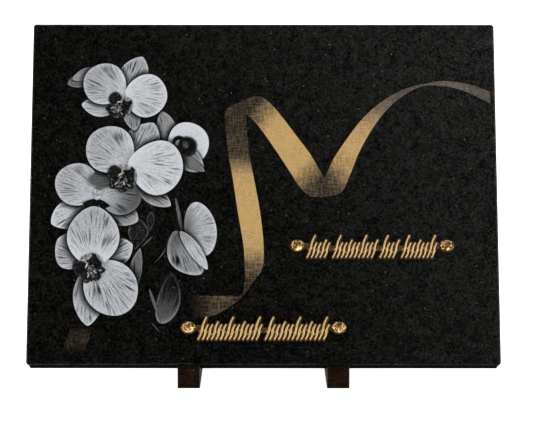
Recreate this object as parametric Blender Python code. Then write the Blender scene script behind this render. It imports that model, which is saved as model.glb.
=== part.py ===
"""Granite memorial plaque that leans back on two granite feet, with two bronze inscription strips.

Metres, +Z up. The face looks along -Y. The origin is on the ground, in the middle of the plaque's
width and depth. The strips carry plain ornamental strokes where an inscription would be.
"""

from math import cos, pi, radians, sin, tan

import bmesh
import bpy
from mathutils import Matrix

# Slab
SLAB_WIDTH = 0.400
SLAB_HEIGHT = 0.300
SLAB_THICKNESS = 0.020
SLAB_LEAN = radians(20)
SLAB_CHAMFER = 0.0015

# Clearance between pieces that touch
CLEARANCE = 0.0003

# Feet, blocks with a notch that the slab's lower edge stands in
FOOT_SPACING = 0.126
FOOT_WIDTH = 0.019
FOOT_LENGTH = 0.114
FOOT_SETBACK = 0.003
FOOT_FRONT_HEIGHT = 0.0196
FOOT_REAR_HEIGHT = 0.012
BACK_REST_HEIGHT = 0.034
FOOT_CHAMFER = 0.0008

# Bronze strips, measured up the slab's face from its lower edge
STUD_SPACING = 0.127
UPPER_STRIP_CENTRE = 0.092
UPPER_STRIP_RISE = 0.092
LOWER_STRIP_CENTRE = 0.0
LOWER_STRIP_RISE = 0.0212
STUD_RISE = 0.010
PLATE_THICKNESS = 0.002
PLATE_MARGIN = 0.0016
NECK_HALF_HEIGHT = 0.0022
PAD_MARGIN = 0.0004
WELD_DISTANCE = 0.00003

# Raised strokes on the strips, in groups, with heights that repeat in turn within a group
STROKE_WIDTH = 0.0018
STROKE_TIP_WIDTH = 0.0011
STROKE_SLANT = radians(20)
STROKE_SWAY = 0.0005
STROKE_RELIEF = 0.0014
STROKE_SPANS = 4
TALL_STROKE = 0.0185
MIDDLE_STROKE = 0.0145
LOW_STROKE = 0.012
STROKE_TURNS = (TALL_STROKE, LOW_STROKE, LOW_STROKE, MIDDLE_STROKE, LOW_STROKE, LOW_STROKE)
UPPER_GROUPS = (5, 10, 4, 8)
LOWER_GROUPS = (14, 14)
GROUP_NECK_RISE = 0.0078
END_SPACE = 0.002

# Wave that runs through each group, halfway up its low strokes
WAVE_SWING = 0.0018
WAVE_PITCHES = 4
WAVE_WIDTH = 0.0012
WAVE_RELIEF = 0.0009
WAVE_STEPS_PER_PITCH = 2

# Oval faceted studs
STUD_WIDTH = 0.0122
STUD_HEIGHT = 0.0096
STUD_RIM = 0.0010
STUD_RIM_INSET = 0.0005
STUD_PROJECTION = 0.0052
STUD_FACETS = 8
STUD_TIP_SHARE = 0.12

# Placing of the slab's lower front edge, so that the bounding box is centred over the origin
EDGE_Y = -(SLAB_THICKNESS * cos(SLAB_LEAN) + SLAB_HEIGHT * sin(SLAB_LEAN)) / 2
SEAT_START = (FOOT_SETBACK + CLEARANCE * sin(SLAB_LEAN)) / cos(SLAB_LEAN)
EDGE_Z = FOOT_FRONT_HEIGHT + SEAT_START * sin(SLAB_LEAN) + CLEARANCE * cos(SLAB_LEAN)


def clear_scene():
    for thing in list(bpy.data.objects):
        bpy.data.objects.remove(thing, do_unlink=True)


def make_material(name, colour, roughness, metallic):
    material = bpy.data.materials.new(name)
    material.use_nodes = True
    shader = material.node_tree.nodes["Principled BSDF"]
    shader.inputs["Base Color"].default_value = (*colour, 1.0)
    shader.inputs["Roughness"].default_value = roughness
    shader.inputs["Metallic"].default_value = metallic
    material.diffuse_color = (*colour, 1.0)
    return material


def add_object(name, bm, material=None, parent=None):
    """Turn a bmesh into a named object, with its faces pointing out."""
    bmesh.ops.recalc_face_normals(bm, faces=bm.faces)
    mesh = bpy.data.meshes.new(name)
    bm.to_mesh(mesh)
    bm.free()
    thing = bpy.data.objects.new(name, mesh)
    bpy.context.collection.objects.link(thing)
    thing.parent = parent
    if material:
        mesh.materials.append(material)
    return thing


def add_chamfer(thing, width):
    chamfer = thing.modifiers.new("chamfer", "BEVEL")
    chamfer.width = width
    chamfer.segments = 1
    chamfer.limit_method = "ANGLE"
    chamfer.angle_limit = radians(15)


def extrude_outline(bm, outline, depth):
    """Fill an outline given in three dimensions and extrude it by a vector."""
    face = bm.faces.new([bm.verts.new(point) for point in outline])
    raised = bmesh.ops.extrude_face_region(bm, geom=[face])
    corners = [part for part in raised["geom"] if isinstance(part, bmesh.types.BMVert)]
    bmesh.ops.translate(bm, verts=corners, vec=depth)


def slab_frame():
    """Empty on the slab's lower front edge: X to the right, Y into the stone, Z up the face."""
    frame = bpy.data.objects.new("slab_frame", None)
    bpy.context.collection.objects.link(frame)
    frame.location = (0, EDGE_Y, EDGE_Z)
    frame.rotation_euler = (-SLAB_LEAN, 0, 0)
    return frame


def on_slab(depth, rise):
    """World Y and Z of a point given by its depth behind the face and its rise up it."""
    y = EDGE_Y + depth * cos(SLAB_LEAN) + rise * sin(SLAB_LEAN)
    z = EDGE_Z - depth * sin(SLAB_LEAN) + rise * cos(SLAB_LEAN)
    return y, z


def make_slab(frame, granite):
    bm = bmesh.new()
    bmesh.ops.create_cube(bm, size=1.0)
    bmesh.ops.scale(bm, vec=(SLAB_WIDTH, SLAB_THICKNESS, SLAB_HEIGHT), verts=bm.verts)
    bmesh.ops.translate(bm, vec=(0, SLAB_THICKNESS / 2, SLAB_HEIGHT / 2), verts=bm.verts)
    slab = add_object("granite_slab", bm, granite, frame)
    add_chamfer(slab, SLAB_CHAMFER)


def foot_profile():
    """Side view of a foot: front, seat, back rest and the slope down to the rear."""
    front = EDGE_Y + FOOT_SETBACK
    rear = front + FOOT_LENGTH
    behind = SLAB_THICKNESS + CLEARANCE
    return [
        (front, 0),
        on_slab(SEAT_START, -CLEARANCE),
        on_slab(behind, -CLEARANCE),
        on_slab(behind, BACK_REST_HEIGHT),
        (rear, FOOT_REAR_HEIGHT),
        (rear, 0),
    ]


def make_foot(name, centre, granite):
    left = centre - FOOT_WIDTH / 2
    bm = bmesh.new()
    extrude_outline(bm, [(left, y, z) for y, z in foot_profile()], (FOOT_WIDTH, 0, 0))
    foot = add_object(name, bm, granite)
    add_chamfer(foot, FOOT_CHAMFER)


def stroke_pitch(groups):
    """Step from stroke to stroke that fills the strip between its pads, with a free slot between groups."""
    slots = sum(groups) + len(groups) - 1
    room = STUD_SPACING - STUD_WIDTH - 2 * (PAD_MARGIN + END_SPACE) - LOW_STROKE * tan(STROKE_SLANT)
    return room / (slots - 1)


def stroke_places(groups):
    """Foot of each stroke along the strip, with its height, group by group."""
    pitch = stroke_pitch(groups)
    foot = PAD_MARGIN + END_SPACE - (STUD_SPACING - STUD_WIDTH) / 2
    placed = []
    for count in groups:
        group = []
        for index in range(count):
            group.append((foot, STROKE_TURNS[index % len(STROKE_TURNS)]))
            foot += pitch
        placed.append(group)
        foot += pitch
    return placed


def stroke_point(foot, height, share):
    """Point on a stroke's curved middle line, from its foot (0) to its head (1)."""
    lean = share * height * tan(STROKE_SLANT)
    return foot + lean + STROKE_SWAY * sin(2 * pi * share), share * height


def ribbon_outline(middle, widths):
    """Outline of a stroke from its middle line and the width at each point, across the strip."""
    near = [(x - width / 2, z) for (x, z), width in zip(middle, widths)]
    far = [(x + width / 2, z) for (x, z), width in zip(middle, widths)]
    return near + far[::-1]


def add_ridge(bm, outline, relief):
    """Raise an outline from inside the plate to its relief above it."""
    root = -CLEARANCE - PLATE_THICKNESS / 2
    crest = -CLEARANCE - PLATE_THICKNESS - relief
    extrude_outline(bm, [(x, root, z) for x, z in outline], (0, crest - root, 0))


def strokes_mesh(groups):
    bm = bmesh.new()
    shares = [step / STROKE_SPANS for step in range(STROKE_SPANS + 1)]
    swell = STROKE_WIDTH - STROKE_TIP_WIDTH
    widths = [STROKE_TIP_WIDTH + swell * sin(pi * share) for share in shares]
    for group in stroke_places(groups):
        for foot, height in group:
            middle = [stroke_point(foot, height, share) for share in shares]
            add_ridge(bm, ribbon_outline(middle, widths), STROKE_RELIEF)
    return bm


def waves_mesh(groups):
    bm = bmesh.new()
    pitch = stroke_pitch(groups)
    middle = LOW_STROKE / 2
    for group in stroke_places(groups):
        start = group[0][0] + middle * tan(STROKE_SLANT) - pitch / 2
        above = []
        below = []
        for step in range(len(group) * WAVE_STEPS_PER_PITCH + 1):
            turn = 2 * pi * step / (WAVE_STEPS_PER_PITCH * WAVE_PITCHES)
            x = start + step * pitch / WAVE_STEPS_PER_PITCH
            z = middle + WAVE_SWING * sin(turn)
            above.append((x, z + WAVE_WIDTH / 2))
            below.append((x, z - WAVE_WIDTH / 2))
        add_ridge(bm, above + below[::-1], WAVE_RELIEF)
    return bm


def pad_arc(side):
    """Oval pad under a stud, as an arc that starts and ends at the strip's neck."""
    half_width = STUD_WIDTH / 2 + PAD_MARGIN
    half_height = STUD_HEIGHT / 2 + PAD_MARGIN
    opening = NECK_HALF_HEIGHT / half_height
    steps = 16
    arc = []
    for step in range(steps + 1):
        turn = opening + (2 * pi - 2 * opening) * step / steps
        x = side * (STUD_SPACING / 2 - half_width * cos(turn))
        arc.append((x, STUD_RISE + half_height * sin(turn)))
    return arc


def lobe(foot, height, end):
    """Three points that round a stroke's head (end 1) or foot (end -1) with the plate's margin."""
    x, z = stroke_point(foot, height, 1 if end > 0 else 0)
    return [
        (x - end * PLATE_MARGIN, z + end * PLATE_MARGIN / 4),
        (x, z + end * PLATE_MARGIN),
        (x + end * PLATE_MARGIN, z + end * PLATE_MARGIN / 4),
    ]


def flank(foot, height, rise, side):
    """Point beside a stroke at a given rise, the plate's margin away to its left (-1) or right (1)."""
    share = min(rise / height, 1)
    x, z = stroke_point(foot, height, share)
    return x + side * PLATE_MARGIN, z


def plate_outline(groups):
    """Outline of the backing plate: lobes round the strokes, necks between groups, pads at the ends."""
    placed = stroke_places(groups)
    heads = []
    feet = []
    for index, group in enumerate(placed):
        left_rise = GROUP_NECK_RISE if index else STUD_RISE
        right_rise = GROUP_NECK_RISE if index + 1 < len(placed) else STUD_RISE
        heads.append(flank(*group[0], left_rise + NECK_HALF_HEIGHT, -1))
        feet.append(flank(*group[0], left_rise - NECK_HALF_HEIGHT, -1))
        for foot, height in group:
            heads += lobe(foot, height, 1)
            feet += lobe(foot, height, -1)[::-1]
        heads.append(flank(*group[-1], right_rise + NECK_HALF_HEIGHT, 1))
        feet.append(flank(*group[-1], right_rise - NECK_HALF_HEIGHT, 1))
    left_pad = pad_arc(-1)
    right_pad = pad_arc(1)
    return left_pad[::-1] + heads + right_pad + feet[::-1]


def make_strip(name, frame, bronze, centre, rise, groups):
    bm = bmesh.new()
    outline = [(x, -CLEARANCE, z) for x, z in plate_outline(groups)]
    extrude_outline(bm, outline, (0, -PLATE_THICKNESS, 0))
    strip = add_object(name, bm, bronze, frame)
    strip.location = (centre, 0, rise)
    for part, relief_mesh in (("strokes", strokes_mesh(groups)), ("waves", waves_mesh(groups))):
        relief = add_object(f"{name}_{part}", relief_mesh, bronze, strip)
        relief.hide_render = True
        relief.display_type = "WIRE"
        join = strip.modifiers.new(part, "BOOLEAN")
        join.operation = "UNION"
        join.solver = "EXACT"
        join.object = relief
    weld = strip.modifiers.new("weld", "WELD")
    weld.merge_threshold = WELD_DISTANCE


def stud_mesh(bronze):
    """Oval stud: a low rim and flat facets that rise to a small blunt tip."""
    bm = bmesh.new()
    bmesh.ops.create_circle(bm, cap_ends=True, segments=2 * STUD_FACETS, radius=STUD_WIDTH / 2)
    top = raise_top(bm, bm.faces[:], STUD_RIM, keep_base=True)
    bmesh.ops.inset_region(bm, faces=top, thickness=STUD_RIM_INSET, use_even_offset=True)
    flatten_to_facets(top[0].verts)
    top = raise_top(bm, top, STUD_PROJECTION - STUD_RIM)
    centre = Matrix.Translation((0, 0, -STUD_PROJECTION))
    tip = (STUD_TIP_SHARE, STUD_TIP_SHARE, 1)
    bmesh.ops.scale(bm, vec=tip, space=centre, verts=top[0].verts)
    bmesh.ops.scale(bm, vec=(1, STUD_HEIGHT / STUD_WIDTH, 1), verts=bm.verts)
    bmesh.ops.rotate(bm, cent=(0, 0, 0), matrix=Matrix.Rotation(pi / 2, 3, "X"), verts=bm.verts)
    bmesh.ops.recalc_face_normals(bm, faces=bm.faces)
    mesh = bpy.data.meshes.new("stud")
    bm.to_mesh(mesh)
    bm.free()
    mesh.materials.append(bronze)
    return mesh


def raise_top(bm, faces, height, keep_base=False):
    """Extrude faces along Z and give back the raised ones, leaving the old ones only as a base."""
    raised = bmesh.ops.extrude_face_region(bm, geom=faces)["geom"]
    corners = [part for part in raised if isinstance(part, bmesh.types.BMVert)]
    bmesh.ops.translate(bm, vec=(0, 0, height), verts=corners)
    if not keep_base:
        bmesh.ops.delete(bm, geom=faces, context="FACES_ONLY")
    return [part for part in raised if isinstance(part, bmesh.types.BMFace)]


def flatten_to_facets(ring):
    """Pull every second vertex of the ring onto the chord between its neighbours."""
    chord = cos(pi / STUD_FACETS)
    for index, corner in enumerate(ring):
        if index % 2:
            corner.co.x *= chord
            corner.co.y *= chord


def make_studs(frame, bronze):
    mesh = stud_mesh(bronze)
    seat = -(PLATE_THICKNESS + 2 * CLEARANCE)
    rows = (
        ("upper", UPPER_STRIP_CENTRE, UPPER_STRIP_RISE),
        ("lower", LOWER_STRIP_CENTRE, LOWER_STRIP_RISE),
    )
    for row, centre, rise in rows:
        for side, sign in (("left", -1), ("right", 1)):
            stud = bpy.data.objects.new(f"stud_{row}_{side}", mesh)
            bpy.context.collection.objects.link(stud)
            stud.parent = frame
            stud.location = (centre + sign * STUD_SPACING / 2, seat, rise + STUD_RISE)


def main():
    clear_scene()
    black_granite = make_material("black_granite", (0.012, 0.012, 0.011), 0.25, 0.0)
    brown_granite = make_material("brown_granite", (0.020, 0.011, 0.006), 0.30, 0.0)
    strip_bronze = make_material("strip_bronze", (0.45, 0.28, 0.11), 0.35, 1.0)
    stud_bronze = make_material("stud_bronze", (0.75, 0.50, 0.20), 0.20, 1.0)
    frame = slab_frame()
    make_slab(frame, black_granite)
    make_foot("foot_left", -FOOT_SPACING / 2, brown_granite)
    make_foot("foot_right", FOOT_SPACING / 2, brown_granite)
    upper = (UPPER_STRIP_CENTRE, UPPER_STRIP_RISE, UPPER_GROUPS)
    lower = (LOWER_STRIP_CENTRE, LOWER_STRIP_RISE, LOWER_GROUPS)
    make_strip("inscription_upper", frame, strip_bronze, *upper)
    make_strip("inscription_lower", frame, strip_bronze, *lower)
    make_studs(frame, stud_bronze)


main()
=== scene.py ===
from math import atan2, cos, pi, radians, sin, tan

import bmesh
import bpy
from mathutils import Matrix, Vector
from mathutils.geometry import delaunay_2d_cdt


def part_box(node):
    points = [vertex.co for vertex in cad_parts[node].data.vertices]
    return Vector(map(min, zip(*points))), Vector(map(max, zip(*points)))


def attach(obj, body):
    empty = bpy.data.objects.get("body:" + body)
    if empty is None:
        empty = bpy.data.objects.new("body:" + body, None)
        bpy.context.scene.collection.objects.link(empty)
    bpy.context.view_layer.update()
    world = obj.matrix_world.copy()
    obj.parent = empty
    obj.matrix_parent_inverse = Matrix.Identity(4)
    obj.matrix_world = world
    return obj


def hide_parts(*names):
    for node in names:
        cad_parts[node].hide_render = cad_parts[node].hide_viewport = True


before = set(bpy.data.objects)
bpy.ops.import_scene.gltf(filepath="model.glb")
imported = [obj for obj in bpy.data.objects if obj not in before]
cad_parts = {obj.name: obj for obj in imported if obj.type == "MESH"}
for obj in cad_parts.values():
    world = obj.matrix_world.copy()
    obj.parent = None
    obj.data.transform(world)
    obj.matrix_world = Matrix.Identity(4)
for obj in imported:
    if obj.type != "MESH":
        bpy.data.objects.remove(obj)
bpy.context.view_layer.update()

# Sizes of the plaque, in metres
SLAB_HEIGHT = 0.300
SLAB_THICKNESS = 0.020
SLAB_LEAN = radians(20)
SLAB_CHAMFER = 0.0015
SLAB_CORNER = 0.0026
CLEARANCE = 0.0003

FOOT_REAR_HEIGHT = 0.012
BACK_REST_HEIGHT = 0.034
FOOT_ARRIS = 0.0007

STUD_SPACING = 0.127
UPPER_STRIP_CENTRE = 0.092
UPPER_STRIP_RISE = 0.092
LOWER_STRIP_CENTRE = 0.0
LOWER_STRIP_RISE = 0.0212
STUD_RISE = 0.010
PLATE_THICKNESS = 0.002
PLATE_MARGIN = 0.0016
NECK_HALF_HEIGHT = 0.0022
PAD_MARGIN = 0.0004

UPPER_STROKE_WIDTH = 0.0015
LOWER_STROKE_WIDTH = 0.0018
STROKE_TIP_WIDTH = 0.0011
STROKE_SLANT = radians(20)
STROKE_SWAY = 0.0005
STROKE_RELIEF = 0.0014
TALL_STROKE = 0.0185
MIDDLE_STROKE = 0.0145
LOW_STROKE = 0.012
STROKE_TURNS = (TALL_STROKE, LOW_STROKE, LOW_STROKE, MIDDLE_STROKE, LOW_STROKE, LOW_STROKE)
UPPER_GROUPS = (5, 10, 4, 8)
LOWER_GROUPS = (14, 14)
GROUP_NECK_RISE = 0.0078
END_SPACE = 0.002
WAVE_SWING = 0.0018
WAVE_PITCHES = 4
WAVE_WIDTH = 0.0012
WAVE_RELIEF = 0.0009

STUD_WIDTH = 0.0122
STUD_HEIGHT = 0.0096
STUD_RIM = 0.0010
STUD_RIM_INSET = 0.0005
STUD_PROJECTION = 0.0052
STUD_FACETS = 8
STUD_TIP_SHARE = 0.12

# The slab's lower front edge, from which the face is measured
slab_low, slab_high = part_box("granite_slab")
SLAB_WIDTH = slab_high.x - slab_low.x
EDGE_Y = slab_low.y - SLAB_CHAMFER * sin(SLAB_LEAN)
EDGE_Z = slab_high.z - SLAB_HEIGHT * cos(SLAB_LEAN) + SLAB_CHAMFER * sin(SLAB_LEAN)
SLAB_PLACE = Matrix.Translation((0, EDGE_Y, EDGE_Z)) @ Matrix.Rotation(-SLAB_LEAN, 4, "X")
FACE_OUT = Vector((0, -cos(SLAB_LEAN), sin(SLAB_LEAN)))


# Camera that matches the photograph
PHOTO_WIDTH = 533
FOCAL_PIXELS = 2486.4
SENSOR_WIDTH = 36.0
CAMERA_PLACE = (-0.0016, -2.1240, 0.3832)
CAMERA_YAW = radians(0.110)
CAMERA_PITCH = radians(6.41)
CAMERA_ROLL = radians(0.054)


def make_camera():
    data = bpy.data.cameras.new("camera")
    data.sensor_width = SENSOR_WIDTH
    data.lens = FOCAL_PIXELS / PHOTO_WIDTH * SENSOR_WIDTH
    data.clip_end = 200
    camera = bpy.data.objects.new("camera", data)
    bpy.context.scene.collection.objects.link(camera)
    turn = Matrix.Rotation(-CAMERA_YAW, 4, "Z") @ Matrix.Rotation(pi / 2 - CAMERA_PITCH, 4, "X")
    camera.matrix_world = Matrix.Translation(CAMERA_PLACE) @ turn @ Matrix.Rotation(CAMERA_ROLL, 4, "Z")
    bpy.context.scene.camera = camera


# Mesh helpers
def finish_piece(name, bm, place=None, smooth_angle=None):
    """Turn a bmesh into an object at the origin, with its place in its mesh."""
    if place:
        bmesh.ops.transform(bm, matrix=place, verts=bm.verts)
    mesh = bpy.data.meshes.new(name)
    bm.to_mesh(mesh)
    bm.free()
    if smooth_angle is not None:
        mesh.shade_smooth()
        mesh.set_sharp_from_angle(angle=smooth_angle)
    piece = bpy.data.objects.new(name, mesh)
    bpy.context.scene.collection.objects.link(piece)
    return piece


def stand_for(piece, node, slot, *materials):
    for material in materials:
        piece.data.materials.append(material)
    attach(piece, "root")
    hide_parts(node)


def extrude_outline(bm, outline, depth):
    """Fill an outline given in three dimensions, extrude it by a vector and give back the far face."""
    face = bm.faces.new([bm.verts.new(point) for point in outline])
    raised = bmesh.ops.extrude_face_region(bm, geom=[face])["geom"]
    corners = [part for part in raised if isinstance(part, bmesh.types.BMVert)]
    bmesh.ops.translate(bm, verts=corners, vec=depth)
    return [part for part in raised if isinstance(part, bmesh.types.BMFace)][0]


def round_edges(bm, edges, width, segments, material=-1):
    bmesh.ops.bevel(bm, geom=edges, offset=width, offset_type="OFFSET", affect="EDGES", segments=segments,
                    profile=0.5, material=material, clamp_overlap=True)


# Shader helpers
class Shader:
    """A new material's node tree, with short ways to add and join nodes."""

    def __init__(self, name):
        self.material = bpy.data.materials.new(name)
        self.material.use_nodes = True
        self.tree = self.material.node_tree
        self.out = self.tree.nodes["Principled BSDF"]

    def put(self, socket, value):
        if isinstance(value, bpy.types.NodeSocket):
            self.tree.links.new(value, socket)
        elif isinstance(value, (tuple, list)) and socket.type == "RGBA":
            socket.default_value = (*value, 1.0)[:4]
        else:
            socket.default_value = value

    def node(self, kind, output=0, settings=None, **inputs):
        """Add a node. An input goes by its name, with _ for a space, or by i and its number."""
        node = self.tree.nodes.new(kind)
        for key, value in (settings or {}).items():
            setattr(node, key, value)
        for key, value in inputs.items():
            numbered = key[0] == "i" and key[1:].isdigit()
            self.put(node.inputs[int(key[1:]) if numbered else key.replace("_", " ")], value)
        return node.outputs[output]

    def place(self):
        return self.node("ShaderNodeTexCoord", "Object")

    def stretch(self, vector, scale):
        return self.node("ShaderNodeMapping", Vector=vector, Scale=scale)

    def noise(self, vector, scale, detail=2.0, roughness=0.5):
        return self.node("ShaderNodeTexNoise", Vector=vector, Scale=scale, Detail=detail,
                         Roughness=roughness)

    def cells(self, vector, scale):
        """One random number for each cell."""
        colour = self.node("ShaderNodeTexVoronoi", "Color", Vector=vector, Scale=scale)
        return self.node("ShaderNodeSeparateColor", i0=colour)

    def math(self, operation, first, second=0.0, clamp=False):
        settings = {"operation": operation, "use_clamp": clamp}
        return self.node("ShaderNodeMath", settings=settings, i0=first, i1=second)

    def span(self, value, low, high, to_low=0.0, to_high=1.0):
        """Linear from one range to another, clamped."""
        return self.node("ShaderNodeMapRange", i0=value, i1=low, i2=high, i3=to_low, i4=to_high)

    def vary(self, scale, detail, least, most):
        """Noise through the piece, nearly all of it between two values."""
        return self.span(self.noise(self.place(), scale, detail), 0.3, 0.7, least, most)

    def mix(self, share, first, second):
        settings = {"data_type": "RGBA"}
        return self.node("ShaderNodeMix", 2, settings=settings, i0=share, i6=first, i7=second)

    def bump(self, height, distance):
        return self.node("ShaderNodeBump", Distance=distance, Height=height)

    def parts(self, kind, value):
        """Split a colour or vector into its three numbers."""
        node = self.tree.nodes.new(kind)
        self.put(node.inputs[0], value)
        return node.outputs[0], node.outputs[1], node.outputs[2]

    def set(self, **inputs):
        for key, value in inputs.items():
            self.put(self.out.inputs[key.replace("_", " ")], value)
        return self.material


# Granite
GRAIN_DARK = (0.0004, 0.0004, 0.0004)
GRAIN_LIGHT = (0.0100, 0.0098, 0.0081)
SPECK_COLOUR = (0.14, 0.128, 0.105)
BROWN_DARK = (0.0025, 0.0012, 0.0004)
BROWN_LIGHT = (0.0210, 0.0088, 0.0030)
BROWN_SPECK = (0.09, 0.06, 0.04)
GREEN_CRYSTAL = (0.010, 0.009, 0.005)
HONED_DARK = (0.006, 0.006, 0.0063)
HONED_LIGHT = (0.046, 0.046, 0.047)
# Underside: sawn stone with no sheen, coloured darker than the honed rear as painted shade under the slab
SAWN_DARK_PAINTED_SHADE = (0.001, 0.001, 0.0011)
SAWN_LIGHT_PAINTED_SHADE = (0.0084, 0.0084, 0.0088)
CRYSTALS_PER_METRE = 1000
GLINTS_PER_METRE = 1500


def grain_share(shader):
    """How light each small crystal is, with darker and paler clouds of them."""
    place = shader.place()
    blur = shader.node("ShaderNodeTexNoise", "Color", Vector=place, Scale=1400.0, Detail=1.0)
    nudge = shader.node("ShaderNodeVectorMath", settings={"operation": "SCALE"}, i0=blur, Scale=0.0009)
    nudged = shader.node("ShaderNodeVectorMath", settings={"operation": "ADD"}, i0=place, i1=nudge)
    crystals = shader.cells(nudged, CRYSTALS_PER_METRE)
    return shader.math("ADD", crystals, shader.vary(130, 3.0, -0.2, 0.2), True)


def granite_colour(shader, dark, light, speck):
    """Dark crystals, a few paler ones among them, and rare bright specks."""
    colour = shader.mix(shader.math("POWER", grain_share(shader), 2.0), dark, light)
    glints = shader.cells(shader.place(), GLINTS_PER_METRE)
    return shader.mix(shader.span(glints, 0.9989, 0.9997), colour, speck)


def polished_granite(name, shine, rough):
    """Mirror polish that only the palest crystals take fully."""
    shader = Shader(name)
    colour = granite_colour(shader, GRAIN_DARK, GRAIN_LIGHT, SPECK_COLOUR)
    shine = shader.span(grain_share(shader), 0.0, 1.0, shine * 0.11, shine)
    roughness = shader.vary(300, 3.0, rough * 0.7, rough * 1.3)
    return shader.set(Base_Color=colour, Specular_IOR_Level=shine, Roughness=roughness)


def honed_granite(name, dark, light, sheen):
    """Sawn and rubbed stone, greyer and duller than the polished faces."""
    shader = Shader(name)
    colour = granite_colour(shader, dark, light, light)
    place = shader.place()
    marks = shader.noise(shader.stretch(place, (20, 700, 700)), 1.0, 3.0)
    height = shader.math("ADD", shader.noise(place, 900, 2.0), shader.math("MULTIPLY", marks, 0.6))
    return shader.set(Base_Color=colour, Roughness=0.6, Specular_IOR_Level=sheen,
                      Normal=shader.bump(height, 0.00012))


def brown_granite(name, roughness, sheen):
    """Dark brown stone of the feet, with a few greenish crystals."""
    shader = Shader(name)
    colour = granite_colour(shader, BROWN_DARK, BROWN_LIGHT, BROWN_SPECK)
    green = shader.cells(shader.place(), 700)
    colour = shader.mix(shader.span(green, 0.80, 0.90, 0.0, 0.5), colour, GREEN_CRYSTAL)
    return shader.set(Base_Color=colour, Roughness=roughness, Specular_IOR_Level=sheen)


# Picture on the face: a UV map and a colour attribute that its materials read
SPOT_MAP = "spot"
TONE_MAP = "tone"
PETAL_COLOUR = (0.46, 0.476, 0.50)
GOLD_COLOUR = (0.420, 0.267, 0.095)
FADED_COLOUR = (0.37, 0.29, 0.225)
EYE_POWER = 2.2
VEINS_AROUND = 26.0
VEIN_LENGTHS_PER_METRE = 55.0


def etched_picture():
    """Pale engraved petals: the tone map gives brightness, vein depth and mottling.

    The spot map has each petal's base near its origin, so that the veins fan out from there.
    """
    shader = Shader("etched_petals")
    picture = shader.node("ShaderNodeVertexColor", settings={"layer_name": TONE_MAP})
    tone, vein_depth, mottle = shader.parts("ShaderNodeSeparateColor", picture)
    uv = shader.node("ShaderNodeUVMap", settings={"uv_map": SPOT_MAP})
    across, forward, _ = shader.parts("ShaderNodeSeparateXYZ", uv)
    angle = shader.math("ARCTAN2", across, forward)
    reach = shader.node("ShaderNodeVectorMath", "Value", {"operation": "LENGTH"}, i0=uv)
    fan = shader.node("ShaderNodeCombineXYZ", X=shader.math("MULTIPLY", angle, VEINS_AROUND),
                      Y=shader.math("MULTIPLY", reach, VEIN_LENGTHS_PER_METRE))
    place = shader.place()
    vein = shader.span(shader.noise(fan, 1.0, 1.0, 0.5), 0.50, 0.64)
    patches = shader.span(shader.noise(place, 100, 1.0), 0.38, 0.58, 0.35, 1.0)
    vein = shader.math("MULTIPLY", shader.math("MULTIPLY", vein, patches), vein_depth)
    tone = shader.math("MULTIPLY", tone, shader.math("SUBTRACT", 1.0, vein, True))
    tone = shader.math("MULTIPLY", tone, shader.vary(1100, 2.0, 0.83, 1.15))
    blots = shader.math("MULTIPLY", shader.span(shader.noise(place, 420, 3.0, 0.6), 0.42, 0.6), mottle)
    tone = shader.math("MULTIPLY", tone, shader.math("SUBTRACT", 1.0, blots, True))
    gleams = shader.span(shader.noise(place, 480, 2.0), 0.60, 0.70, 0.0, 0.6)
    tone = shader.math("ADD", tone, shader.math("MULTIPLY", gleams, mottle), True)
    stone = granite_colour(shader, GRAIN_DARK, GRAIN_LIGHT, SPECK_COLOUR)
    colour = shader.mix(shader.math("POWER", tone, EYE_POWER), stone, PETAL_COLOUR)
    return shader.set(Base_Color=colour, Roughness=shader.span(tone, 0.1, 0.5, 0.11, 0.5))


def gilt_picture():
    """Gold gauze ribbon: the tone map gives glow and fading, the spot map the cloth's threads."""
    shader = Shader("gilt_ribbon")
    picture = shader.node("ShaderNodeVertexColor", settings={"layer_name": TONE_MAP})
    glow, faded, _ = shader.parts("ShaderNodeSeparateColor", picture)
    uv = shader.node("ShaderNodeUVMap", settings={"uv_map": SPOT_MAP})
    upright = shader.noise(shader.stretch(uv, (900, 110, 1)), 1.0, 1.0)
    level = shader.noise(shader.stretch(uv, (110, 900, 1)), 1.0, 1.0)
    threads = shader.span(shader.math("ADD", upright, level), 0.75, 1.25, -1.0, 1.0)
    loose = shader.span(glow, 0.3, 0.9, 0.50, 0.08)
    loose = shader.math("MULTIPLY", loose, shader.span(faded, 0.0, 1.0, 1.0, 0.5))
    woven = shader.math("ADD", 1.0, shader.math("MULTIPLY", threads, loose))
    grain = shader.vary(1000, 2.0, 0.80, 1.20)
    share = shader.math("MULTIPLY", shader.math("MULTIPLY", glow, woven), grain, True)
    cloth = shader.mix(faded, GOLD_COLOUR, FADED_COLOUR)
    stone = granite_colour(shader, GRAIN_DARK, GRAIN_LIGHT, SPECK_COLOUR)
    colour = shader.mix(shader.math("POWER", share, EYE_POWER), stone, cloth)
    return shader.set(Base_Color=colour, Roughness=shader.span(share, 0.05, 0.5, 0.11, 0.42))


# Petals: each is an outline with a base, a heading, a length and a half-width, on the face in metres
PETAL_STEPS = 22
PETAL_RINGS = (1.26, 1.1, 1.0, 0.93, 0.8, 0.55, 0.28)
MARK_STEPS = 11
MARK_RINGS = (1.26, 1.0, 0.8, 0.4)
SHADOW_REACH = 0.26
SHADOW_CASTER = 0.005
FAN_SETBACK = 0.004
THROAT_FADE = 2.2
RIM_START = 0.86
RIM_RISE = 0.07


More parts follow.
